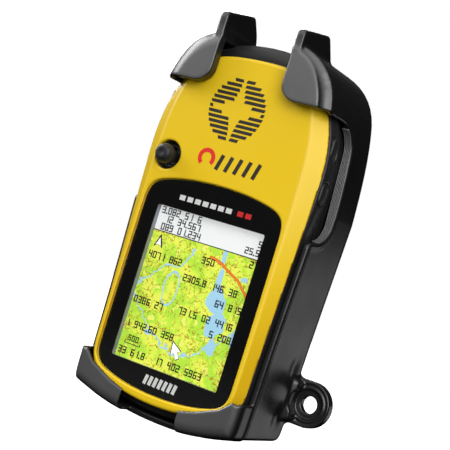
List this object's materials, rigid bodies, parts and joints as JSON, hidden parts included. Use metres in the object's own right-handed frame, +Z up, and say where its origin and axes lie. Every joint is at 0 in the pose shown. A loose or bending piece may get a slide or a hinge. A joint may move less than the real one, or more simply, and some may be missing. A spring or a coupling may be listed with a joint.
{
  "type": "portable gps navigator in vehicle cradle",
  "caption": "Yellow hand-held GPS navigator with colour screen and click stick, seated in a black snap-in vehicle cradle with spring arms.",
  "frame": {"origin": "centre of the four mounting holes, on the cradle's back face", "axes": "+Y out of the cradle's back towards the vehicle mount, so the screen faces -Y; +Z up along the case; +X to the viewer's right"},
  "size_m": [0.0665, 0.0369, 0.1137],
  "materials": {
    "cradle_black": "fine satin moulded texture",
    "case_black": "fine matt texture",
    "yellow_cover": "satin, slightly pearly",
    "clear_lens": "clear polished",
    "mask_black": "gloss printed black",
    "rubber_black": "matt rubber",
    "screen": "lit colour map",
    "diffuser_white": "matt diffuser",
    "steel": "plated",
    "spring_steel": "nickel plated",
    "latch_steel": "black coated",
    "tin_plate": "tinned",
    "flex_amber": "polyimide film",
    "board_green": "solder mask",
    "antenna_ceramic": "fired, silvered patch",
    "chip_black": "moulded epoxy",
    "cell_blue": "printed sleeve"
  },
  "bodies": {
    "cradle_and_case": {"cradle_body": "cradle_black", "cradle_plate": "cradle_black", "front_cover": "yellow_cover", "lens": "clear_lens", "lens_mask": "mask_black", "side_band": "rubber_black", "case_gasket": "rubber_black", "rear_housing": "case_black", "case_screws": "steel", "lcd_panel": "screen", "lcd_backlight": "diffuser_white", "lcd_frame": "steel", "lcd_flex": "flex_amber", "main_board": "board_green", "gps_antenna": "antenna_ceramic", "antenna_ground": "tin_plate", "rf_shield": "tin_plate", "processor": "chip_black", "memory_chip": "chip_black", "card_socket": "tin_plate", "memory_card": "chip_black", "usb_header": "chip_black", "usb_board": "board_green", "usb_connector": "tin_plate", "beeper": "chip_black", "backup_cell": "steel", "key_switches": "steel", "stick_switch": "steel", "stick_seal": "rubber_black", "battery_left": "cell_blue", "battery_right": "cell_blue", "battery_springs": "spring_steel", "battery_contacts": "spring_steel", "battery_door": "case_black", "door_seal": "rubber_black"},
    "arm_left": {"arm_left": "cradle_black"},
    "arm_right": {"arm_right": "cradle_black"},
    "stick_press": {"stick_plunger": "case_black"},
    "stick_tilt": {"stick_rocker": "steel"},
    "stick_knob": {"stick_knob": "rubber_black"},
    "usb_cap": {"usb_cap": "rubber_black"},
    "latch_knob": {"latch_knob": "case_black"},
    "latch_ring": {"latch_ring": "latch_steel"},
    "key_zoom_in": {"key_zoom_in": "rubber_black"},
    "key_zoom_out": {"key_zoom_out": "rubber_black"},
    "key_menu": {"key_menu": "rubber_black"},
    "key_page": {"key_page": "rubber_black"},
    "key_power": {"key_power": "rubber_black"}
  },
  "joints": [
    {"name": "arm_left_flex", "type": "hinge", "parent": "cradle_and_case", "child": "arm_left", "pos_m": [-0.0289, -0.017, 0.0268], "axis": [0, -1, 0], "range_deg": [0, 12], "stiffness_Nm_per_rad": 3},
    {"name": "arm_right_flex", "type": "hinge", "parent": "cradle_and_case", "child": "arm_right", "pos_m": [0.0289, -0.017, 0.0268], "axis": [0, 1, 0], "range_deg": [0, 12], "stiffness_Nm_per_rad": 3},
    {"name": "stick_press", "type": "slide", "parent": "cradle_and_case", "child": "stick_press", "axis": [0, 1, 0], "range_m": [0, 0.0004], "stiffness_N_per_m": 2000},
    {"name": "stick_up_down", "type": "hinge", "parent": "stick_press", "child": "stick_tilt", "pos_m": [-0.0185, -0.0279, 0.0352], "axis": [1, 0, 0], "range_deg": [-7, 7], "stiffness_Nm_per_rad": 0.1},
    {"name": "stick_left_right", "type": "hinge", "parent": "stick_tilt", "child": "stick_knob", "pos_m": [-0.0185, -0.0279, 0.0352], "axis": [0, 0, 1], "range_deg": [-7, 7], "stiffness_Nm_per_rad": 0.1},
    {"name": "key_zoom_in_press", "type": "slide", "parent": "cradle_and_case", "child": "key_zoom_in", "axis": [1, 0, 0], "range_m": [0, 0.0005], "stiffness_N_per_m": 2500},
    {"name": "key_zoom_out_press", "type": "slide", "parent": "cradle_and_case", "child": "key_zoom_out", "axis": [1, 0, 0], "range_m": [0, 0.0005], "stiffness_N_per_m": 2500},
    {"name": "key_menu_press", "type": "slide", "parent": "cradle_and_case", "child": "key_menu", "axis": [1, 0, 0], "range_m": [0, 0.0005], "stiffness_N_per_m": 2500},
    {"name": "key_page_press", "type": "slide", "parent": "cradle_and_case", "child": "key_page", "axis": [-1, 0, 0], "range_m": [0, 0.0005], "stiffness_N_per_m": 2500},
    {"name": "key_power_press", "type": "slide", "parent": "cradle_and_case", "child": "key_power", "axis": [-1, 0, 0], "range_m": [0, 0.0005], "stiffness_N_per_m": 2500},
    {"name": "usb_cap_swing", "type": "hinge", "parent": "cradle_and_case", "child": "usb_cap", "pos_m": [0, -0.0038, 0.058], "axis": [1, 0, 0], "range_deg": [0, 95], "stiffness_Nm_per_rad": 0.002},
    {"name": "latch_turn", "type": "hinge", "parent": "cradle_and_case", "child": "latch_knob", "pos_m": [0, -0.00358, -0.0206], "axis": [0, 1, 0], "range_deg": [0, 90]},
    {"name": "latch_ring_flip", "type": "hinge", "parent": "latch_knob", "child": "latch_ring", "pos_m": [0, -0.00358, -0.0206], "axis": [-1, 0, 0], "range_deg": [0, 90]}
  ]
}
